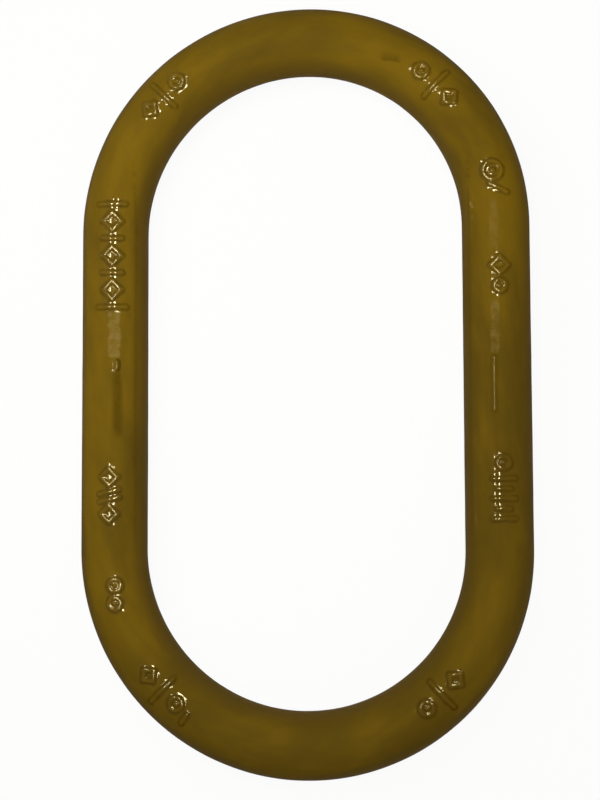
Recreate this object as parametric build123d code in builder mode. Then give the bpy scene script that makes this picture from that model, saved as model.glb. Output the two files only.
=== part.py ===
"""Forged oblong master link: one closed loop of round bar with raised forging marks."""

from build123d import *
import math
import os

# Sizes are in millimetres and angles in degrees.
# The link lies flat with its long axis along Y, and its marked face is up.

# Loop of round bar
bar_diameter = 16.0
eye_width = 76.2
eye_length = 152.4

# Gauge mark on each shoulder: a bar across the section, with a lozenge beside it
mark_height = 0.45
gauge_angle = 45.0
gauge_bar_length = 8.0
gauge_bar_width = 1.1
lozenge_spacing = 4.6
lozenge_size = 4.2
lozenge_stroke = 1.0

# Die pip on the left leg, and the fine ridge on the right leg, both on the side of the eye
pip_length = 3.2
pip_width = 1.7
pip_offset = 2.5
pip_place = 5.9
ridge_height = 0.22
ridge_length = 12.0
ridge_width = 0.7
ridge_offset = 0.85

# Places worked out from the sizes above
bar_radius = bar_diameter / 2
crown_radius = (eye_width + bar_diameter) / 2
crown_centre = (eye_length - eye_width) / 2
mid_height = bar_radius
lozenge_angle = gauge_angle + math.degrees(lozenge_spacing / crown_radius)
parting_plane = Plane.XY.offset(mid_height)
section_plane = Plane(origin=(crown_radius, -crown_centre, mid_height), x_dir=(-1, 0, 0), z_dir=(0, 1, 0))


def raised(plan, height):
    """Mark that stands straight up from its plan and ends at a height above the round bar."""
    with BuildPart() as relief:
        extrude(plan, amount=bar_diameter)
        with BuildSketch(section_plane) as section:
            Circle(bar_radius + height)
        sweep(section.sketch, path=centreline.wire(), mode=Mode.INTERSECT)
    return relief.part


# Centreline of the bar, once round the loop from the foot of the right leg
with BuildLine(parting_plane) as centreline:
    Line((crown_radius, -crown_centre), (crown_radius, crown_centre))
    RadiusArc((crown_radius, crown_centre), (-crown_radius, crown_centre), -crown_radius)
    Line((-crown_radius, crown_centre), (-crown_radius, -crown_centre))
    RadiusArc((-crown_radius, -crown_centre), (crown_radius, -crown_centre), -crown_radius)

# Gauge marks on the four shoulders, each drawn out from the centre of its crown
with BuildSketch(parting_plane) as gauge_plan:
    for end in (-1, 1):
        for side in (-1, 1):
            with Locations((0, end * crown_centre)):
                with PolarLocations(crown_radius, 1, end * (90 - side * gauge_angle)):
                    Rectangle(gauge_bar_length, gauge_bar_width)
                with PolarLocations(crown_radius, 1, end * (90 - side * lozenge_angle)):
                    RegularPolygon(lozenge_size / 2, 4)
                    RegularPolygon(lozenge_size / 2 - lozenge_stroke, 4, mode=Mode.SUBTRACT)

with BuildSketch(parting_plane) as pip_plan:
    with Locations((pip_offset - crown_radius, pip_place)):
        SlotOverall(pip_length, pip_width, rotation=90)

with BuildSketch(parting_plane) as ridge_plan:
    with Locations((crown_radius - ridge_offset, 0)):
        Rectangle(ridge_width, ridge_length)

with BuildPart() as link:
    with BuildSketch(section_plane):
        Circle(bar_radius)
    sweep(path=centreline.wire())
    add(raised(gauge_plan.sketch, mark_height))
    add(raised(pip_plan.sketch, mark_height))
    add(raised(ridge_plan.sketch, ridge_height))

os.makedirs("parts", exist_ok=True)
link.part.label = "link"
export_step(link.part, "parts/link.step")
print("volume", round(link.part.volume), "cubic mm, bar length", round(centreline.wire().length, 1), "mm")
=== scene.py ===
"""A forged and painted master link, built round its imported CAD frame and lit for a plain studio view."""

import math

import bpy
import numpy as np
from bpy.props import FloatProperty, FloatVectorProperty, PointerProperty
from mathutils import Matrix, Vector


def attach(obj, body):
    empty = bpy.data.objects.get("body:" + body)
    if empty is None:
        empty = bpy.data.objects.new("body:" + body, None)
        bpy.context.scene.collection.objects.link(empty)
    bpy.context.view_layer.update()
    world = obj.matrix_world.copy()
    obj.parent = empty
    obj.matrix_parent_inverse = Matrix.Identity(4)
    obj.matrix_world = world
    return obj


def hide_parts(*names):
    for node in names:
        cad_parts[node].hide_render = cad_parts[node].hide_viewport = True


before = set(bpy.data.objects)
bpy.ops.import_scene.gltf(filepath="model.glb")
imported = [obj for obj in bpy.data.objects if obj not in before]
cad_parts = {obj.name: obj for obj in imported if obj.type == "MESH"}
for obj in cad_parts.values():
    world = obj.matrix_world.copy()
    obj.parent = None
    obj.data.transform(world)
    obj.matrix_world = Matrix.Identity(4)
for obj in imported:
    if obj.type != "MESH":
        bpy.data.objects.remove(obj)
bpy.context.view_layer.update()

bl_info = {
    "name": "Forged Master Link",
    "version": (1, 0, 0),
    "blender": (4, 5, 0),
    "location": "3D View > Sidebar > Master Link",
    "description": "Builds an oblong forged link with raised marks, its enamel and its studio",
    "category": "Object",
}

# The frame and the studio are in metres. The loop, its marks and its paint are worked out in millimetres.
MM = 0.001
NODE = "link"
PIECE = "forged_link"

# Grid of the skin: cells along a leg, along a crown and round the section
LEG_CELLS = 72
CROWN_CELLS = 132
ROUND_CELLS = 48
# For each time that a cell may halve, the distances from the edge of a mark between which it does
HALVING_REACH = ((-9.0, 2.4), (-9.0, 1.25), (-0.62, 0.62))
HALVINGS = len(HALVING_REACH)
# How many of the finest cells go along a side of a whole one
FINEST = 2**HALVINGS
# Distance that stands for nowhere near
FAR = 99.0

# Gauge marks: angle of the bar on each shoulder, spacing of the lozenge and the ring beside it, and their sizes
GAUGE_ANGLE = 45
GAUGE_SPACING = 4.6
GAUGE_BAR = 7.6
GAUGE_LOZENGE = 1.72
GAUGE_RING = 1.5
# Short stroke on the lower left shoulder: angle about the crown's centre, place out of the bar's middle, length
SHOULDER_STROKE = (124.9, 1.5, 2.6)
# Half length of the pip inside a ring
RING_PIP = 0.12
# Even rows of marks, from the top down: place across, top, step, and the length of each bar, or 0 for a lozenge
LEFT_ROW = (-45.0, 44.6, 4.15, (6.4, 0, 4.6, 0, 4.6, 0, 6.4))
RIGHT_ROW = (47.2, -21.6, 2.3, (5.0, 3.0, 5.0, 3.0, 5.0))
ROW_LOZENGE = 2.15
# Other marks on the legs: kind, plan place, length or radius, and turn in degrees
LEG_MARKS = (
    ("lozenge", -45.4, -20.9, 1.95),
    ("bar", -45.4, -24.4, 4.8, 14),
    ("bar", -45.4, -26.2, 4.8, 14),
    ("lozenge", -45.4, -29.6, 1.95),
    ("ring", -43.9, -46.4, 1.4),
    ("ring", -43.9, -50.7, 1.4),
    ("ring", 45.4, 49.7, 2.1),
    ("bar", 46.7, 45.6, 4.4, -28),
    ("lozenge", 46.8, 27.6, 1.95),
    ("ring", 46.85, 22.8, 1.3),
    ("ring", 47.2, -18.0, 1.4),
)
# Reach of the sloping edge of a raised stroke, inwards and outwards from half its height
SLOPE_IN, SLOPE_OUT = 0.36, 0.42

# Low waves of the forging: how many there are, and where their random draw starts
WAVES = 40
WAVE_SEED = 11
# Sine of the lowest place round the bar that the dies mark
MARKED_SINE = 0.2
# Where a form starts and ends along Y. Each end runs from where there is none of it to where it is whole.
LEFT_LAND = ((7.0, 8.2), (20.6, 17.8))
RIGHT_LAND = ((6.6, 7.8), (20.6, 18.6))
# Band of painted sheen higher up the right leg
SHEEN_BAND = ((28.0, 33.0), (46.0, 42.0))
GROOVE = ((-12.4, -9.4), (4.4, 3.2))
# The same for the groove across the left leg, in from the middle of the bar
GROOVE_ACROSS = ((0.7, 2.8), (3.9, 2.95))
# Middle of each dressed land round the bar, in degrees, and its width
LEFT_LAND_TURN, LEFT_LAND_WIDTH = 102.9, 3.4
RIGHT_LAND_TURN, RIGHT_LAND_WIDTH = 93.9, 2.6
# Pip on the left leg: how far it lies in from the middle of the bar, its ends along Y and its half width
PIP_IN, PIP_ENDS, PIP_HALF_WIDTH = 2.4, (5.1, 6.4), 0.5
# Bead of paint at the foot of the pip: how far it lies in from the middle of the bar, and its place along Y
BEAD_IN, BEAD_PLACE = 1.9, 4.3
# Ridge on the right leg: how far it lies in from the middle of the bar, and its ends along Y
RIDGE_IN, RIDGE_ENDS = 0.85, (-5.8, 6.2)
# Width of the land that trimming leaves on the outer and the inner side of the bar
TRIMMED_WIDTH = 1.9
# Scored line on both legs and the burr beside it: how far they lie in from the middle of the bar
SCORE_IN, BURR_IN = 6.3, 5.57
# Middle of the scored line along Y, and the half lengths where it ends and where it is whole
SCORE_SPAN = (10.0, 52.0, 40.0)
# Where the burr slants: the middle and half length of that stretch along Y, and how far it slants in a millimetre
SLANT_MIDDLE, SLANT_HALF, SLANT = 42.0, 0.9, 0.2
# Middle and half length of the stretch where the skin gets its finest cells for the burr
FINE_MIDDLE, FINE_HALF = 40.0, 3.0
# Stretches of the burr, each with a painted glint: place along Y, half lengths where it ends and where it is whole, and
# strength
BURR_STRETCHES = ((42.0, 1.1, 0.6, 1.0), (39.2, 0.9, 0.4, 0.4), (36.9, 1.2, 0.5, 0.2), (-27.0, 8.0, 5.0, 0.3))
# Lower edge of the dent on the top crown: its ends and its fall to the right
DENT_LEFT, DENT_RIGHT, DENT_FALL = (20.4, 76.8), (24.3, 76.0), 0.205
# Where the dent starts and ends above that edge, and across
DENT_ABOVE = ((-0.16, 0.06), (2.8, 0.2))
DENT_ACROSS = ((19.2, 20.8), (25.0, 23.4))
# Heights and depths of these forms
PIP_HEIGHT, BEAD_HEIGHT, RIDGE_HEIGHT, BURR_HEIGHT = 0.34, 0.1, 0.17, 0.12
GROOVE_DEPTH, SCORE_DEPTH, DENT_DEPTH = 0.28, 0.05, 0.12

# Masks that the skin keeps for its enamel
MASKS = ("gloss", "crease", "land", "side_shade", "shading_patches")
# Where the marks are glossy, out of the middle of the bar, as a share of its radius
GLOSSY_SPAN = ((-0.56, -0.3), (0.32, 0.08))
# How far the paint's clouds lean along the bar from its middle to its outer side
LEAN = 9.0
# Broad blotches of painted light (+) and painted shade (-), made as richer and thinner paint: distance along the loop,
# angle round the bar in degrees, half length, half width in degrees and strength
SHADING_PATCHES = (
    (20, 130, 42, 45, -0.17),
    (76, 95, 20, 34, 0.22),
    (88, 25, 45, 22, 0.2),
    (150, 172, 60, 26, 0.24),
    (172, 86, 34, 15, 0.08),
    (182, 126, 22, 18, -0.12),
    (259, 158, 45, 24, 0.14),
    (283, 64, 28, 30, 0.2),
    (352, 90, 20, 60, -0.13),
    (374, 60, 55, 28, -0.1),
    (402, 150, 50, 34, -0.16),
    (428, 88, 34, 40, -0.08),
)

# Studio, in metres and degrees: colours and sides of the lamps, where they aim, the floor and the camera
WHITE = (1.0, 1.0, 1.0)
WARM = (1.0, 0.88, 0.5)
STRIP_SIDES = (0.018, 0.2)
NEAR_SIDES = (0.2, 0.14)
FAR_SIDES = (1.5, 1.5)
AIM = (0.0, 0.0, 0.008)
FLOOR_HALF = 3.0
CAMERA_LENS = 60.75
CAMERA_PLACE = (0.0413, -0.0224, 0.3277)
CAMERA_TURN = (3.48, 7.5, -0.23)

# ----------------------------------------------------------------- settings


class LinkSizes(bpy.types.PropertyGroup):
    """Sizes of the loop and of what stands on it."""

    bar_diameter: FloatProperty(
        name="Bar diameter",
        description="Diameter of the round bar",
        default=0.016,
        min=0.004,
        precision=4,
        subtype="DISTANCE",
        unit="LENGTH",
    )
    eye_width: FloatProperty(
        name="Eye width",
        description="Inside width of the loop",
        default=0.0762,
        min=0.01,
        precision=4,
        subtype="DISTANCE",
        unit="LENGTH",
    )
    eye_length: FloatProperty(
        name="Eye length",
        description="Inside length of the loop",
        default=0.1524,
        min=0.02,
        precision=4,
        subtype="DISTANCE",
        unit="LENGTH",
    )
    mark_height: FloatProperty(
        name="Mark height",
        description="How far the raised marks stand out of the bar",
        default=0.0003,
        min=0.0,
        precision=5,
        subtype="DISTANCE",
        unit="LENGTH",
    )
    stroke_width: FloatProperty(
        name="Stroke width",
        description="Width of a raised stroke at half its height",
        default=0.0009,
        min=0.0002,
        precision=5,
        subtype="DISTANCE",
        unit="LENGTH",
    )
    wave_depth: FloatProperty(
        name="Wave depth",
        description="Depth of the low waves that the dies left",
        default=0.00005,
        min=0.0,
        precision=6,
        subtype="DISTANCE",
        unit="LENGTH",
    )


class EnamelFinish(bpy.types.PropertyGroup):
    """Colours and gloss of the mustard enamel, with the colours of its painted shade and sheen."""

    # Also gives the painted light in the richer blotches
    enamel: FloatVectorProperty(
        name="Enamel",
        description="Colour of most of the paint",
        subtype="COLOR",
        size=3,
        min=0.0,
        max=1.0,
        default=(0.178, 0.1078, 0.0062),
    )
    # Also gives the painted shade in the darker blotches
    thin_and_shaded_enamel: FloatVectorProperty(
        name="Thin enamel",
        description="Darker colour where the paint is thin",
        subtype="COLOR",
        size=3,
        min=0.0,
        max=1.0,
        default=(0.1073, 0.0672, 0.0062),
    )
    # Painted sheen: colour of the highlight painted on the lands, the ridge's crest and the burr
    sheen_enamel: FloatVectorProperty(
        name="Pale enamel",
        description="Chalky colour of the rubbed lands",
        subtype="COLOR",
        size=3,
        min=0.0,
        max=1.0,
        default=(0.225, 0.158, 0.045),
    )
    # Painted shade: colour of the shade painted round the marks and in the groove, scored lines and dent, also used for
    # a few brown specks
    crease: FloatVectorProperty(
        name="Crease",
        description="Brown of the creases round the marks",
        subtype="COLOR",
        size=3,
        min=0.0,
        max=1.0,
        default=(0.083, 0.0485, 0.0015),
    )
    # Painted shade and a painted grey reflection low on the sides of the bar
    side_shade: FloatVectorProperty(
        name="Flank",
        description="Brownish colour low on the sides of the bar",
        subtype="COLOR",
        size=3,
        min=0.0,
        max=1.0,
        default=(0.0993, 0.0612, 0.0094),
    )
    roughness: FloatProperty(
        name="Roughness",
        description="Roughness of the plain enamel",
        default=0.64,
        min=0.0,
        max=1.0,
        subtype="FACTOR",
    )
    pooled_roughness: FloatProperty(
        name="Pooled roughness",
        description="Roughness of the glossy paint that pools at the marks",
        default=0.07,
        min=0.0,
        max=1.0,
        subtype="FACTOR",
    )


class StudioSettings(bpy.types.PropertyGroup):
    """Light of the studio. A surface lit by a total of 1 shows its colour as it is written."""

    left_strip: FloatProperty(
        name="Left strip",
        description="Share of the light from the slim lamp overhead on the left, which makes the fainter glints",
        default=0.14,
        min=0.0,
        subtype="FACTOR",
    )
    right_strip: FloatProperty(
        name="Right strip",
        description="Share of the light from the slim lamp overhead on the right, which makes the brighter glints",
        default=0.22,
        min=0.0,
        subtype="FACTOR",
    )
    near: FloatProperty(
        name="Near panel",
        description="Share of the light from the soft panel over the upper left of the link",
        default=0.7,
        min=0.0,
        subtype="FACTOR",
    )
    broad: FloatProperty(
        name="Broad panel",
        description="Share of the light from the broad dim panel low on the right",
        default=0.28,
        min=0.0,
        subtype="FACTOR",
    )
    front: FloatProperty(
        name="Front panel",
        description="Share of the light from the broad dim panel low in front",
        default=0.145,
        min=0.0,
        subtype="FACTOR",
    )
    ceiling: FloatProperty(
        name="Ceiling",
        description="Brightness of the dim ceiling",
        default=0.03,
        min=0.0,
        subtype="FACTOR",
    )


# ------------------------------------------------------------- loop of bar


def loop_sizes(sizes):
    """Radius of the bar and of the crown's centreline, half a leg and a crown's arc, in millimetres."""
    bar = sizes.bar_diameter / MM / 2
    crown = (sizes.eye_width + sizes.bar_diameter) / MM / 2
    half_leg = (sizes.eye_length - sizes.eye_width) / MM / 2
    return bar, crown, half_leg, math.pi * crown


def centreline(along, sizes):
    """Plan place and outward direction of the bar's centre, from the foot of the right leg onwards."""
    _, crown, half_leg, arc = loop_sizes(sizes)
    leg = 2 * half_leg
    bend = (np.clip(along - leg, 0, arc) + np.clip(along - 2 * leg - arc, 0, arc)) / crown
    right = np.clip(along, 0, leg)
    left = np.clip(along - leg - arc, 0, leg)
    out_x, out_y = np.cos(bend), np.sin(bend)
    return crown * out_x, crown * out_y - half_leg + right - left, out_x, out_y


def along_from_cells(cells, sizes):
    """Distance along the centreline of a place counted in whole cells."""
    _, _, half_leg, arc = loop_sizes(sizes)
    counts = np.cumsum([0, LEG_CELLS, CROWN_CELLS, LEG_CELLS, CROWN_CELLS])
    return np.interp(cells, counts, np.cumsum([0, 2 * half_leg, arc, 2 * half_leg, arc]))


# ------------------------------------------------------------ raised marks
# A stroke is a straight one ("bar", x0, y0, x1, y1) or a ring ("ring", x, y, radius), in plan and in millimetres.


def bar_stroke(x, y, length, turn=0.0):
    """Straight stroke about its middle. At no turn it lies along X."""
    dx, dy = length / 2 * math.cos(math.radians(turn)), length / 2 * math.sin(math.radians(turn))
    return [("bar", x - dx, y - dy, x + dx, y + dy)]


def lozenge_strokes(x, y, radius, turn=0.0):
    """Four strokes between the corners of a square that stands on its corner."""
    corners = []
    for quarter in range(5):
        angle = math.radians(turn + 90 * quarter)
        corners.append((x + radius * math.cos(angle), y + radius * math.sin(angle)))
    return [("bar", *corners[i], *corners[i + 1]) for i in range(4)]


def ring_strokes(x, y, radius):
    """Ring with a pip in its middle."""
    return [("ring", x, y, radius), ("bar", x - RING_PIP, y, x + RING_PIP, y)]


def shoulder_place(crown, half_leg, end, angle, out=0.0):
    """Plan place on the centreline of a crown, or out of it, at an angle from X about the crown's centre."""
    turn = math.radians(angle)
    return (crown + out) * math.cos(turn), end * (half_leg + (crown + out) * math.sin(turn))


def gauge_marks(sizes):
    """On each shoulder a bar across the section, with a lozenge on one side of it and a ring on the other."""
    _, crown, half_leg, _ = loop_sizes(sizes)
    step = math.degrees(GAUGE_SPACING / crown)
    strokes = []
    for end in (-1, 1):
        for side in (-1, 1):
            middle = 90 - side * GAUGE_ANGLE
            x, y = shoulder_place(crown, half_leg, end, middle)
            strokes += bar_stroke(x, y, GAUGE_BAR, end * middle)
            x, y = shoulder_place(crown, half_leg, end, middle - side * step)
            strokes += lozenge_strokes(x, y, GAUGE_LOZENGE, end * (middle - side * step))
            x, y = shoulder_place(crown, half_leg, end, middle + side * step)
            strokes += ring_strokes(x, y, GAUGE_RING)
    angle, out, length = SHOULDER_STROKE
    x, y = shoulder_place(crown, half_leg, -1, angle, out)
    return strokes + bar_stroke(x, y, length, -angle)


def even_row(x, top, step, lengths):
    """Row down a leg of bars, and of lozenges where a length is 0."""
    strokes = []
    for place, length in enumerate(lengths):
        y = top - step * place
        strokes += bar_stroke(x, y, length) if length else lozenge_strokes(x + 0.1, y, ROW_LOZENGE)
    return strokes


def leg_marks():
    """Rows of plain bars, lozenges and rings on the two legs."""
    makers = {"bar": bar_stroke, "lozenge": lozenge_strokes, "ring": ring_strokes}
    strokes = even_row(*LEFT_ROW)
    for kind, *mark in LEG_MARKS:
        strokes += makers[kind](*mark)
    return strokes + even_row(*RIGHT_ROW)


def stroke_distance(x, y, stroke):
    """Distance in plan from the middle of a stroke."""
    if stroke[0] == "ring":
        return np.abs(np.hypot(x - stroke[1], y - stroke[2]) - stroke[3])
    x0, y0, x1, y1 = stroke[1:]
    dx, dy = x1 - x0, y1 - y0
    share = np.clip(((x - x0) * dx + (y - y0) * dy) / (dx * dx + dy * dy), 0, 1)
    return np.hypot(x - x0 - share * dx, y - y0 - share * dy)


def stroke_extent(stroke):
    """Middle of a stroke in plan, and how far it reaches from there."""
    if stroke[0] == "ring":
        return stroke[1:]
    x0, y0, x1, y1 = stroke[1:]
    return (x0 + x1) / 2, (y0 + y1) / 2, math.dist((x0, y0), (x1, y1)) / 2


def nearest_stroke(x, y, strokes, reach=5.0, blend=0.22):
    """Distance to the nearest stroke, with a small fillet where strokes meet."""
    nearest = np.full(x.shape, FAR)
    for stroke in strokes:
        middle_x, middle_y, size = stroke_extent(stroke)
        close = (np.abs(x - middle_x) < size + reach) & (np.abs(y - middle_y) < size + reach)
        here, there = nearest[close], stroke_distance(x[close], y[close], stroke)
        mix = np.maximum(blend - np.abs(here - there), 0) / blend
        nearest[close] = np.minimum(here, there) - mix * mix * blend / 4
    return nearest


# --------------------------------------------------------- surface of the bar
# A form fades in or out between the two distances that smooth_step gets.


def smooth_step(value, start, end):
    """0 before start, 1 after end, and smooth between them. Start may be the larger."""
    share = np.clip((value - start) / (end - start), 0, 1)
    return share * share * (3 - 2 * share)


def window(value, rise, fall):
    """1 between a rise and a fall, 0 outside them, and smooth along each."""
    return smooth_step(value, *rise) * smooth_step(value, *fall)


def wobble(x, y, phase):
    """Slow unevenness of the dies' cut marks, between about -1 and 1."""
    waves = ((1.7, 0.9, 1.0), (-0.8, 2.1, 1.0), (3.1, -1.4, 0.5), (1.1, 3.4, 0.5))
    return sum(weight * np.sin(a * x + b * y + phase * (1 + i)) for i, (a, b, weight) in enumerate(waves)) / 3


class Places:
    """Places on the nominal round bar: along the loop, round the bar, in plan, and whether the dies mark them."""

    def __init__(self, along, turn, sizes):
        self.bar, self.crown, half_leg, arc = loop_sizes(sizes)
        self.loop = 4 * half_leg + 2 * arc
        self.along, self.turn, self.out = along, turn, np.cos(turn)
        x, y, out_x, out_y = centreline(along, sizes)
        self.x, self.y = x + self.bar * self.out * out_x, y + self.bar * self.out * out_y
        self.marked = np.sin(turn) > MARKED_SINE

    def off_stroke(self, strokes, distance=stroke_distance):
        """Distance in plan from a stroke, or from several with nearest_stroke, where the dies mark the bar."""
        off = np.full(self.x.shape, FAR)
        off[self.marked] = distance(self.x[self.marked], self.y[self.marked], strokes)
        return off


def die_waves(at, depth):
    """Low waves of the forging, from the nominal bar inwards."""
    draw = np.random.default_rng(WAVE_SEED)
    height, power = np.zeros_like(at.along), 0.0
    for _ in range(WAVES):
        cycles, lobes, phase = draw.integers(5, 60), draw.integers(-3, 4), draw.uniform(0, math.tau)
        weight = 1 / (1 + cycles / 14 + abs(lobes) / 2)
        height += weight * np.sin(math.tau * cycles * at.along / at.loop + lobes * at.turn + phase)
        power += weight * weight / 2
    return depth * (np.clip(height / (2.6 * math.sqrt(power)), -1, 1) - 1) / 2


def painted_shading(at):
    """Painted light and shade: how much richer or thinner the paint is made than on the rest of the link."""
    total = np.zeros_like(at.along)
    for place, angle, half_length, half_width, strength in SHADING_PATCHES:
        off = (at.along - place + at.loop / 2) % at.loop - at.loop / 2
        round_off = (np.degrees(at.turn) - angle + 180) % 360 - 180
        total += strength * np.exp(-((off / half_length) ** 2) - (round_off / half_width) ** 2)
    return total


def flat_land(at, middle, width):
    """Depth of a flat land cut along the bar, at a place round its section."""
    off = np.abs((at.turn - middle + math.pi) % math.tau - math.pi)
    flat = np.sqrt(at.bar * at.bar - width * width / 4) / np.cos(np.minimum(off, 1.2)) - at.bar
    return np.minimum(flat, 0)


def dressed_lands(at):
    """Lands dressed flat on top of the legs: their depth, where they are, and where a painted sheen lightens them."""
    left = window(at.y, *LEFT_LAND) * (at.x < 0) * at.marked
    right = window(at.y, *RIGHT_LAND) * (at.x > 0) * at.marked
    uneven, ragged = wobble(0.0, at.y, 2.3), wobble(0.0, at.y, 4.1)
    left_cut = flat_land(at, np.radians(LEFT_LAND_TURN + 2.0 * uneven), LEFT_LAND_WIDTH + 0.3 * ragged)
    right_cut = flat_land(at, np.radians(RIGHT_LAND_TURN + 0.8 * uneven), RIGHT_LAND_WIDTH + 0.2 * ragged)
    # Painted sheen on the dressed lands
    painted_sheen = left * smooth_step(left_cut, 0.0, -0.1) * (0.86 + 0.14 * wobble(at.x, at.y, 0.9))
    painted_sheen += 0.6 * right * smooth_step(right_cut, 0.0, -0.07)
    # Painted sheen in a band higher up the right leg
    sheen_band = window(at.y, *SHEEN_BAND) * (at.x > 0) * at.marked
    painted_sheen = np.maximum(painted_sheen, 0.5 * sheen_band * smooth_step(right_cut, 0.0, -0.06))
    return left * left_cut + right * right_cut, left + right, painted_sheen


def scored_line(at):
    """Fine scored line on the inner side of both legs."""
    off = np.abs(np.abs(at.x) - at.crown + SCORE_IN)
    middle, end, whole = SCORE_SPAN
    return smooth_step(off, 0.32, 0.06) * smooth_step(np.abs(at.y - middle), end, whole) * at.marked


def burr_with_glint(at):
    """Burr beside the scored line on the right leg with a painted glint along it: its strength, and the distance from
    it.
    """
    off = np.abs(at.x - at.crown + BURR_IN + SLANT * np.clip(at.y - SLANT_MIDDLE, -SLANT_HALF, SLANT_HALF))
    burr_and_glint = sum(strength * smooth_step(np.abs(at.y - y), end, whole) for y, end, whole, strength in BURR_STRETCHES)
    burr_and_glint *= smooth_step(off, 0.4, 0.2) * at.marked
    beyond = np.maximum(np.abs(at.y - FINE_MIDDLE) - FINE_HALF, 0)
    return burr_and_glint, np.where(at.marked, np.hypot(off, beyond), FAR)


def crown_dent(at):
    """Dent on the top crown, deepest at its lower edge, and the distance from that edge."""
    left_x, left_y = DENT_LEFT
    above = at.y - left_y + DENT_FALL * (at.x - left_x) - 0.12 * wobble(at.x, at.y, 1.4)
    dent = window(above, *DENT_ABOVE) * window(at.x, *DENT_ACROSS) * at.marked
    return dent, at.off_stroke(("bar", *DENT_RIGHT, *DENT_LEFT))


def glossy_paint(at, edge, pip, bead, crest, dressed):
    """Where the paint is glossy: at the marks near the top of the bar, the pip, its bead and the ridge's crest."""
    gloss = smooth_step(edge, 0.85, 0.62) * window(at.out, *GLOSSY_SPAN)
    gloss *= (1 - 0.9 * dressed) * smooth_step(wobble(1.3 * at.x, 1.3 * at.y, 5.0), -0.8, -0.4)
    # Duller on the shoulders and down the right leg
    gloss *= 1 - 0.42 * np.maximum(smooth_step(np.abs(at.y), 54, 62), (at.x > 0) * smooth_step(at.y, 44, 38))
    broken = 0.5 + 0.5 * smooth_step(wobble(0.0, 2.4 * at.y, 1.1), 0.1, 0.5)
    shiny_bead = smooth_step(bead, 0.7, 0.5) * at.marked
    return np.maximum.reduce((gloss, 0.35 * smooth_step(pip, 0.6, 0.3), crest * broken, shiny_bead))


def painted_shade(at, edge, pip, ridge, groove, score, dent):
    """Where shade is painted: in the creases round the marks, round the pip, beside the ridge, in the groove, the
    scored lines and the dent.
    """
    crease = (0.62 + 0.3 * wobble(1.4 * at.x, 1.4 * at.y, 3.3)) * smooth_step(np.abs(edge - 0.22), 0.5, 0.08)
    # More painted shade in the creases on the lower shoulders
    crease *= 1 + 0.6 * smooth_step(at.y, -54, -62)
    round_pip = smooth_step(np.abs(pip - 0.15), 0.55, 0.1) * smooth_step(at.x + at.crown, 1.9, 2.8)
    beside_ridge = smooth_step(np.abs(ridge - 0.62), 0.38, 0.05)
    return np.maximum.reduce((crease, round_pip, 0.95 * groove, 0.5 * score, 0.6 * beside_ridge, 0.65 * dent))


def bar_surface(along, turn, sizes):
    """Lift off the nominal bar in millimetres, the distance from the nearest mark's edge, and the enamel's masks."""
    at = Places(along, turn, sizes)
    lift = die_waves(at, sizes.wave_depth / MM)

    # Raised strokes
    edge = at.off_stroke(gauge_marks(sizes) + leg_marks(), nearest_stroke)
    edge += 0.07 * wobble(at.x, at.y, 0.3) - sizes.stroke_width / MM / 2
    uneven = 0.88 + 0.12 * wobble(at.x, at.y, 1.9)
    lift += sizes.mark_height / MM * smooth_step(edge, SLOPE_OUT, -SLOPE_IN) * uneven

    # Pip with its bead and its groove on the left leg, and the ridge on the right leg
    across = at.x + at.crown
    pip_x, (pip_low, pip_high) = PIP_IN - at.crown, PIP_ENDS
    pip = at.off_stroke(("bar", pip_x, pip_low, pip_x, pip_high)) - PIP_HALF_WIDTH
    lift += PIP_HEIGHT * smooth_step(pip, 0.5, -0.4) * smooth_step(across, 0.9, 2.6)
    bead = np.hypot(across - BEAD_IN, at.y - BEAD_PLACE)
    lift += BEAD_HEIGHT * smooth_step(bead, 0.6, 0.0)
    groove = window(across, *GROOVE_ACROSS) * window(at.y, *GROOVE) * at.marked * (at.x < 0)
    lift -= GROOVE_DEPTH * groove
    ridge_x, (ridge_low, ridge_high) = at.crown - RIDGE_IN, RIDGE_ENDS
    ridge = at.off_stroke(("bar", ridge_x, ridge_low, ridge_x, ridge_high))
    lift += RIDGE_HEIGHT * smooth_step(ridge, 0.42, 0.0) * (1 + 0.25 * wobble(at.x, 3 * at.y, 2.6))

    # Dressed lands, the trimmed parting line on both sides of the bar, the scored lines and the dent
    cut, dressed, painted_sheen = dressed_lands(at)
    lift += cut
    for middle in (0.0, math.pi):
        lift += flat_land(at, middle, TRIMMED_WIDTH)
    score = scored_line(at)
    burr_and_glint, burr = burr_with_glint(at)
    lift += BURR_HEIGHT * burr_and_glint - SCORE_DEPTH * score
    dent, dent_edge = crown_dent(at)
    lift -= DENT_DEPTH * dent

    crest = smooth_step(ridge, 0.3, 0.05)
    return {
        "lift": lift,
        "edge": np.minimum.reduce((edge, dent_edge, burr, pip, ridge - 0.3)),
        "gloss": glossy_paint(at, edge, pip, bead, crest, dressed),
        # Painted shade in the creases round the marks, the groove, the scored lines and the dent
        "crease": painted_shade(at, edge, pip, ridge, groove, score, dent),
        # Painted light and shade in broad blotches
        "shading_patches": painted_shading(at),
        # Painted sheen on the lands, a painted highlight along the ridge's crest and a painted glint on the burr
        "land": np.maximum.reduce((painted_sheen, 0.5 * crest, 1.2 * burr_and_glint)),
        # Where painted shade and reflection go, low on the sides of the bar
        "side_shade": np.abs(at.out),
    }


# ------------------------------------------------------------- skin of cells


def spread(cells):
    """Cells and their neighbours on a grid that closes on itself both ways."""
    return cells | np.roll(cells, 1, 0) | np.roll(cells, -1, 0) | np.roll(cells, 1, 1) | np.roll(cells, -1, 1)


def parents(cells):
    """Coarser cells that hold any of these."""
    return cells[::2, ::2] | cells[1::2, ::2] | cells[::2, 1::2] | cells[1::2, 1::2]


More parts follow.
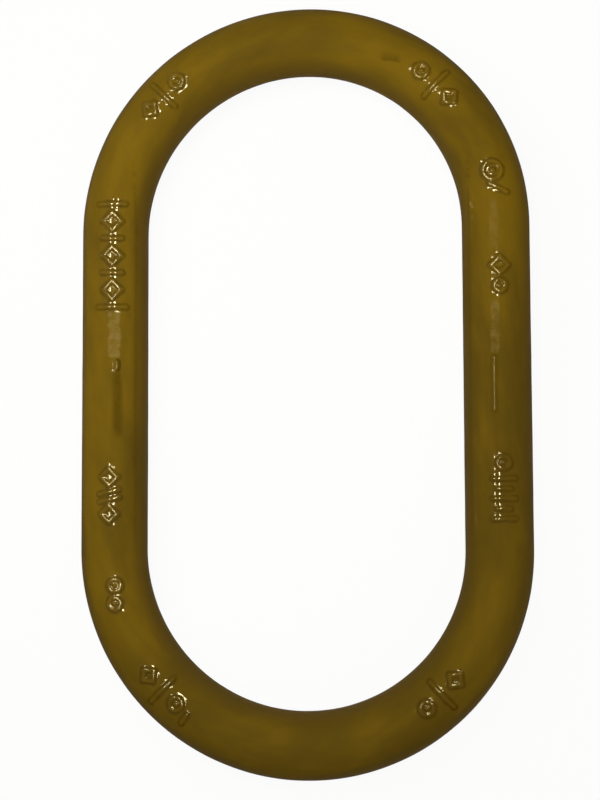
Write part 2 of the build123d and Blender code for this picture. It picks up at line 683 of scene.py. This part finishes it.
def halved_cells(sizes):
    """For each level, which cells halve: those near the edges of the marks. Neighbours differ by one level at most."""
    total = 2 * (LEG_CELLS + CROWN_CELLS)
    wanted = []
    for level, (inner, outer) in enumerate(HALVING_REACH):
        fine = 2**level
        i, j = np.meshgrid(np.arange(total * fine) + 0.5, np.arange(ROUND_CELLS * fine) + 0.5, indexing="ij")
        surface = bar_surface(along_from_cells(i / fine, sizes), math.tau * j / ROUND_CELLS / fine, sizes)
        near = (surface["edge"] > inner) & (surface["edge"] < outer)
        if level < HALVINGS - 1:
            near |= (surface["land"] > 0) | (surface["land"] != np.roll(surface["land"], 1, 1))
        wanted.append(near)
    for level in reversed(range(HALVINGS - 1)):
        wanted[level] |= parents(spread(wanted[level + 1]))
    return wanted


def skin_faces(halved):
    """Grid places of the corners, and quads and triangles of them. A cell beside smaller ones is a fan of triangles."""
    total = 2 * (LEG_CELLS + CROWN_CELLS) * FINEST, ROUND_CELLS * FINEST
    leaves = []
    exists = np.ones(halved[0].shape, bool)
    for level in range(HALVINGS + 1):
        split = halved[level] & exists if level < HALVINGS else np.zeros(exists.shape, bool)
        i, j = np.nonzero(exists & ~split)
        size = FINEST >> level
        leaves.append((i * size, j * size, size))
        exists = np.repeat(np.repeat(split, 2, 0), 2, 1)
    used = np.zeros(total, bool)
    for i, j, size in leaves:
        for di, dj in ((0, 0), (size, 0), (size, size), (0, size)):
            used[(i + di) % total[0], (j + dj) % total[1]] = True
    centres = []
    for i, j, size in leaves[:-1]:
        half = size // 2
        hanging = np.zeros(len(i), bool)
        for di, dj in ((half, 0), (size, half), (half, size), (0, half)):
            hanging |= used[(i + di) % total[0], (j + dj) % total[1]]
        centres.append(hanging)
    corner_used = used.copy()
    for (i, j, size), hanging in zip(leaves, centres):
        used[i[hanging] + size // 2, j[hanging] + size // 2] = True
    index = np.full(total, -1, np.int64)
    index[used] = np.arange(np.count_nonzero(used))

    def corner(i, j):
        return index[i % total[0], j % total[1]]

    quads, triangles = [], []
    for level, (i, j, size) in enumerate(leaves):
        hanging = centres[level] if level < HALVINGS else np.zeros(len(i), bool)
        a, b = i[~hanging], j[~hanging]
        quads.append(np.stack([corner(a, b), corner(a + size, b), corner(a + size, b + size), corner(a, b + size)], 1))
        a, b, half = i[hanging], j[hanging], size // 2
        middle = corner(a + half, b + half)
        ring = [(0, 0), (half, 0), (size, 0), (size, half), (size, size), (half, size), (0, size), (0, half)]
        for side in range(0, 8, 2):
            (p, q), (r, s), (t, u) = ring[side], ring[side + 1], ring[(side + 2) % 8]
            mid_used = corner_used[(a + r) % total[0], (b + s) % total[1]]
            first, mid, last = corner(a + p, b + q), corner(a + r, b + s), corner(a + t, b + u)
            whole = ~mid_used
            triangles.append(np.stack([first[whole], last[whole], middle[whole]], 1))
            triangles.append(np.stack([first[mid_used], mid[mid_used], middle[mid_used]], 1))
            triangles.append(np.stack([mid[mid_used], last[mid_used], middle[mid_used]], 1))
    return np.argwhere(used), np.concatenate(quads), np.concatenate(triangles)


def mesh_from_faces(name, points, quads, triangles):
    """Smooth mesh of quads and triangles."""
    mesh = bpy.data.meshes.new(name)
    mesh.vertices.add(len(points))
    mesh.vertices.foreach_set("co", points.astype(np.float32).ravel())
    corners = np.concatenate([quads.ravel(), triangles.ravel()])
    mesh.loops.add(len(corners))
    mesh.loops.foreach_set("vertex_index", corners.astype(np.int32))
    counts = np.concatenate([np.full(len(quads), 4), np.full(len(triangles), 3)])
    mesh.polygons.add(len(counts))
    mesh.polygons.foreach_set("loop_start", (np.cumsum(counts) - counts).astype(np.int32))
    mesh.polygons.foreach_set("loop_total", counts.astype(np.int32))
    mesh.update(calc_edges=True)
    mesh.validate()
    mesh.shade_smooth()
    return mesh


def store(mesh, name, values):
    """Keeps one number, or one vector, for each point of the mesh."""
    values = np.asarray(values, np.float32)
    kind, field = ("FLOAT_VECTOR", "vector") if values.ndim == 2 else ("FLOAT", "value")
    mesh.attributes.new(name, kind, "POINT").data.foreach_set(field, values.ravel())


def link_mesh(sizes):
    """The whole link as one closed skin."""
    bar, _, half_leg, arc = loop_sizes(sizes)
    length = 4 * half_leg + 2 * arc
    places, quads, triangles = skin_faces(halved_cells(sizes))
    along = along_from_cells(places[:, 0] / FINEST, sizes)
    turn = math.tau * places[:, 1] / FINEST / ROUND_CELLS
    surface = bar_surface(along, turn, sizes)
    radius = bar + surface["lift"]
    x, y, out_x, out_y = centreline(along, sizes)
    out = radius * np.cos(turn)
    points = np.stack([x + out * out_x, y + out * out_y, bar + radius * np.sin(turn)], 1) * MM
    mesh = mesh_from_faces(PIECE, points, quads, triangles)
    for name in MASKS:
        store(mesh, name, surface[name])

    # The paint's grain runs round a closed loop, so it has four coordinates and no seam
    swing = length / math.tau
    loop_turn = (along + LEAN * np.cos(turn)) / swing
    store(mesh, "grain", np.stack([bar * np.cos(turn), bar * np.sin(turn), swing * np.cos(loop_turn)], 1))
    store(mesh, "grain_turn", swing * np.sin(loop_turn))
    return mesh


# ------------------------------------------------------------------- enamel


class Wiring:
    """Adds nodes to a node tree from left to right, and links them as it goes."""

    def __init__(self, tree):
        self.tree = tree
        self.tree.nodes.clear()
        self.count = 0

    def add(self, kind, inputs=(), **settings):
        node = self.tree.nodes.new(kind)
        node.location = (180 * (self.count // 4), -240 * (self.count % 4))
        self.count += 1
        for name, value in settings.items():
            setattr(node, name, value)
        for key, value in dict(inputs).items():
            socket = node.inputs[key]
            if isinstance(value, bpy.types.NodeSocket):
                self.tree.links.new(value, socket)
            else:
                socket.default_value = value
        return node

    def attribute(self, name, vector=False):
        node = self.add("ShaderNodeAttribute", attribute_name=name)
        return node.outputs["Vector" if vector else "Fac"]

    def maths(self, operation, a, b=0.0, c=0.0, clamp=False):
        return self.add("ShaderNodeMath", {0: a, 1: b, 2: c}, operation=operation, use_clamp=clamp).outputs[0]

    def plus(self, a, b):
        return self.maths("ADD", a, b)

    def times(self, a, b, clamp=False):
        return self.maths("MULTIPLY", a, b, clamp=clamp)

    def ramp(self, value, low, high, to_low=0.0, to_high=1.0):
        settings = {"Value": value, "From Min": low, "From Max": high, "To Min": to_low, "To Max": to_high}
        return self.add("ShaderNodeMapRange", settings, interpolation_type="SMOOTHSTEP").outputs["Result"]

    def mix(self, share, a, b):
        """Share of colour b over colour a, each a socket or a plain colour."""
        node = self.add("ShaderNodeMix", data_type="RGBA")
        for key, value in (("Factor_Float", share), ("A_Color", a), ("B_Color", b)):
            socket = next(s for s in node.inputs if s.identifier == key)
            if isinstance(value, bpy.types.NodeSocket):
                self.tree.links.new(value, socket)
            else:
                socket.default_value = (*value, 1.0)
        return next(s for s in node.outputs if s.identifier == "Result_Color")

    def mottle(self, scale, detail=2.0, roughness=0.5):
        """Noise that is the same in every direction. Scale is in cycles per millimetre."""
        place = self.add("ShaderNodeTexCoord").outputs["Object"]
        inputs = {"Vector": place, "Scale": scale / MM, "Detail": detail, "Roughness": roughness}
        return self.add("ShaderNodeTexNoise", inputs).outputs["Fac"]

    def grain(self, scale, stretch, detail, roughness):
        """Noise on the bar's own seamless grain, drawn out along the bar. Scale is in cycles per millimetre."""
        place = self.attribute("grain", vector=True)
        turn = self.attribute("grain_turn")
        drawn = self.add("ShaderNodeVectorMath", {0: place, 1: (1, 1, 1 / stretch)}, operation="MULTIPLY").outputs[0]
        inputs = {
            "Vector": drawn,
            "W": self.times(turn, 1 / stretch),
            "Scale": scale,
            "Detail": detail,
            "Roughness": roughness,
        }
        return self.add("ShaderNodeTexNoise", inputs, noise_dimensions="4D").outputs["Fac"]


def enamel_material(finish):
    """Mustard enamel over forged steel: cloudy and a little greasy, with painted shade in the creases and low on the
    sides, painted light and shade in broad blotches, painted sheen on the lands, and glossy where it pools.
    """
    material = bpy.data.materials.new("mustard_enamel")
    material.use_nodes = True
    wiring = Wiring(material.node_tree)
    clouds = wiring.grain(scale=0.09, stretch=2.4, detail=4.0, roughness=0.62)
    streaks = wiring.grain(scale=0.42, stretch=5.0, detail=3.0, roughness=0.6)
    peel = wiring.mottle(scale=1.2)
    grit = wiring.mottle(scale=3.4, detail=2.0, roughness=0.6)
    smears = wiring.mottle(scale=0.6, detail=3.0, roughness=0.65)
    gloss, crease, land, side_shade, shading_patches = (wiring.attribute(name) for name in MASKS)

    # Thinner and richer paint in clouds and fine streaks, and painted light and shade in broad blotches
    clouds = wiring.maths("MULTIPLY_ADD", clouds, 1.5, -0.245)
    depth = wiring.plus(clouds, wiring.times(shading_patches, 0.9))
    depth = wiring.plus(depth, wiring.times(streaks, 0.2))
    colour = wiring.mix(wiring.ramp(depth, 0.3, 0.9), finish.thin_and_shaded_enamel, finish.enamel)

    # Painted shade and a painted grey reflection low on the sides of the bar, stronger where the blotches paint shade
    side_shade_share = wiring.maths("MULTIPLY_ADD", shading_patches, -1.2, 0.85)
    colour = wiring.mix(wiring.times(wiring.ramp(side_shade, 0.6, 1.0), side_shade_share, clamp=True), colour, finish.side_shade)

    # Painted sheen on the dressed lands, the ridge's crest and the burr, broken up in smears with a little grit
    painted_sheen = wiring.plus(wiring.ramp(smears, 0.36, 0.66, 0.3, 0.85), wiring.ramp(grit, 0.58, 0.7, 0.0, 0.5))
    painted_sheen = wiring.times(painted_sheen, wiring.ramp(wiring.plus(land, smears), 0.55, 1.3))
    colour = wiring.mix(wiring.times(painted_sheen, land, clamp=True), colour, finish.sheen_enamel)

    # Painted shade in the creases, round the pip, beside the ridge, in the groove, the scored lines and the dent, and
    # brown in a few specks
    crease_shade = wiring.times(crease, wiring.ramp(smears, 0.3, 0.7, 0.7, 1.0))
    colour = wiring.mix(crease_shade, colour, finish.crease)
    colour = wiring.mix(wiring.ramp(grit, 0.735, 0.775, 0.0, 0.5), colour, finish.crease)

    rough = wiring.ramp(streaks, 0.3, 0.7, finish.roughness - 0.04, finish.roughness + 0.06)
    rough = wiring.plus(rough, wiring.times(land, 0.1))
    relief = wiring.plus(wiring.plus(wiring.times(peel, 0.6), wiring.times(grit, 0.22)), clouds)
    bump = wiring.add("ShaderNodeBump", {"Strength": 0.6, "Distance": 0.03 * MM, "Height": relief})
    shader = wiring.add(
        "ShaderNodeBsdfPrincipled",
        {
            "Base Color": colour,
            "Roughness": rough,
            "Specular IOR Level": 0.03,
            "Specular Tint": (1.0, 0.85, 0.4, 1.0),
            "Coat Weight": gloss,
            "Coat Roughness": finish.pooled_roughness,
            "Coat IOR": 2.0,
            "Normal": bump.outputs["Normal"],
        },
    )
    wiring.add("ShaderNodeOutputMaterial", {"Surface": shader.outputs[0]})
    return material


# ------------------------------------------------------------------- studio


def floor_material():
    """White floor. What the camera and the reflections see of it is mostly white, with a faint shadow."""
    material = bpy.data.materials.new("studio_floor")
    material.use_nodes = True
    wiring = Wiring(material.node_tree)
    path = wiring.add("ShaderNodeLightPath").outputs
    seen = wiring.maths("MAXIMUM", path["Is Camera Ray"], path["Is Glossy Ray"])
    seen = wiring.maths("MAXIMUM", seen, path["Is Transmission Ray"])
    paper = wiring.add("ShaderNodeBsdfDiffuse", {"Color": (0.86, 0.86, 0.86, 1)})
    white = wiring.add("ShaderNodeEmission", {"Color": (1, 1, 1, 1), "Strength": 1.0})
    place = wiring.add("ShaderNodeTexCoord").outputs["Object"]
    away = wiring.add("ShaderNodeVectorMath", {0: place}, operation="LENGTH").outputs["Value"]
    # Round the link a little of the paper shows through the white, and holds the shadow
    share = wiring.times(seen, wiring.ramp(away, 0.08, 0.3, 0.94, 1.0))
    mixed = wiring.add("ShaderNodeMixShader", {0: share, 1: paper.outputs[0], 2: white.outputs[0]})
    wiring.add("ShaderNodeOutputMaterial", {"Surface": mixed.outputs[0]})
    return material


def studio_world(ceiling):
    """White to the camera all round. Reflections see it white round the horizon and dim overhead."""
    world = bpy.data.worlds.new("studio")
    world.use_nodes = True
    wiring = Wiring(world.node_tree)
    towards = wiring.add("ShaderNodeTexCoord").outputs["Generated"]
    height = wiring.add("ShaderNodeSeparateXYZ", {0: towards}).outputs["Z"]
    path = wiring.add("ShaderNodeLightPath").outputs
    reflected = wiring.maths("MAXIMUM", path["Is Glossy Ray"], path["Is Transmission Ray"])
    horizon = wiring.times(reflected, wiring.ramp(height, 0.0, 0.1, 1.0, 0.0))
    level = wiring.maths("MAXIMUM", wiring.maths("MAXIMUM", horizon, path["Is Camera Ray"]), ceiling)
    back = wiring.add("ShaderNodeBackground", {"Color": (1, 1, 1, 1), "Strength": level})
    wiring.add("ShaderNodeOutputWorld", {"Surface": back.outputs[0]})
    return world


def lamp(name, place, sides, share, colour=WHITE, glints=False):
    """Rectangular lamp that gives a share of the full light where it aims, with its first side along X."""
    data = bpy.data.lights.new(name, "AREA")
    data.color = colour
    data.shape = "RECTANGLE"
    data.size, data.size_y = sides
    away = Vector(place) - Vector(AIM)
    data.energy = share * math.pi * math.pi * away.length_squared
    lit = bpy.data.objects.new(name, data)
    lit.location = place
    lit.visible_glossy = glints
    lit.visible_camera = False
    out = away.normalized()
    upward = out.cross(Vector((1.0, 0.0, 0.0))).normalized()
    lit.rotation_euler = Matrix((upward.cross(out), upward, out)).transposed().to_euler()
    bpy.context.scene.collection.objects.link(lit)


def camera():
    """Camera at the photograph's viewpoint, above the link and a little to its right."""
    data = bpy.data.cameras.new("view_from_above")
    data.lens = CAMERA_LENS
    data.sensor_width = 36.0
    data.clip_start, data.clip_end = 0.01, 50.0
    eye = bpy.data.objects.new("view_from_above", data)
    eye.location = CAMERA_PLACE
    eye.rotation_euler = [math.radians(turn) for turn in CAMERA_TURN]
    bpy.context.scene.collection.objects.link(eye)
    bpy.context.scene.camera = eye


# ---------------------------------------------------------------- operators


class LINK_OT_forging(bpy.types.Operator):
    """Build the loop of round bar with its raised marks"""

    bl_idname = "link.forging"
    bl_label = "Forged loop"

    def execute(self, context):
        piece = bpy.data.objects.new(PIECE, link_mesh(context.scene.link_sizes))
        context.scene.collection.objects.link(piece)
        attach(piece, "root")
        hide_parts(NODE)
        return {"FINISHED"}


class LINK_OT_enamel(bpy.types.Operator):
    """Paint the loop, and its frame, with mustard enamel"""

    bl_idname = "link.enamel"
    bl_label = "Mustard enamel"

    def execute(self, context):
        material = enamel_material(context.scene.link_finish)
        bpy.data.objects[PIECE].data.materials.append(material)
        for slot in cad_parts[NODE].material_slots:
            slot.material = material
        return {"FINISHED"}


class LINK_OT_studio(bpy.types.Operator):
    """Lay the floor and set up the lamps, the world and the camera"""

    bl_idname = "link.studio"
    bl_label = "Studio"

    def execute(self, context):
        scene = context.scene
        studio = scene.link_studio
        half = FLOOR_HALF
        corners = [(-half, -half, 0), (half, -half, 0), (half, half, 0), (-half, half, 0)]
        mesh = bpy.data.meshes.new("studio_floor")
        mesh.from_pydata(corners, [], [(0, 1, 2, 3)])
        floor = bpy.data.objects.new("studio_floor", mesh)
        floor.data.materials.append(floor_material())
        scene.collection.objects.link(floor)
        scene.world = studio_world(studio.ceiling)
        lamp("left_strip", (-0.072, 0.055, 0.47), STRIP_SIDES, studio.left_strip, WARM, glints=True)
        lamp("right_strip", (0.058, 0.055, 0.47), STRIP_SIDES, studio.right_strip, WARM, glints=True)
        lamp("near_panel", (-0.075, 0.07, 0.2), NEAR_SIDES, studio.near)
        lamp("broad_panel", (0.62, -0.3, 0.8), FAR_SIDES, studio.broad)
        lamp("front_panel", (0.3, -0.6, 0.8), FAR_SIDES, studio.front)
        camera()
        scene.view_settings.view_transform = "Standard"
        return {"FINISHED"}


class LINK_PT_panel(bpy.types.Panel):
    """Sizes, colours and light of the link, and the steps that build it."""

    bl_idname = "LINK_PT_panel"
    bl_label = "Master Link"
    bl_space_type = "VIEW_3D"
    bl_region_type = "UI"
    bl_category = "Master Link"

    def draw(self, context):
        scene = context.scene
        for settings in (scene.link_sizes, scene.link_finish, scene.link_studio):
            box = self.layout.box()
            for name in settings.__annotations__:
                box.prop(settings, name)
        for operator in OPERATORS:
            self.layout.operator(operator.bl_idname)


SETTINGS = {"link_sizes": LinkSizes, "link_finish": EnamelFinish, "link_studio": StudioSettings}
OPERATORS = (LINK_OT_forging, LINK_OT_enamel, LINK_OT_studio)


def register():
    for name, settings in SETTINGS.items():
        bpy.utils.register_class(settings)
        setattr(bpy.types.Scene, name, PointerProperty(type=settings))
    for operator in OPERATORS:
        bpy.utils.register_class(operator)
    bpy.utils.register_class(LINK_PT_panel)


def unregister():
    bpy.utils.unregister_class(LINK_PT_panel)
    for operator in reversed(OPERATORS):
        bpy.utils.unregister_class(operator)
    for name, settings in reversed(SETTINGS.items()):
        delattr(bpy.types.Scene, name)
        bpy.utils.unregister_class(settings)


def main():
    register()
    bpy.ops.link.forging()
    bpy.ops.link.enamel()
    bpy.ops.link.studio()


if __name__ == "__main__":
    main()
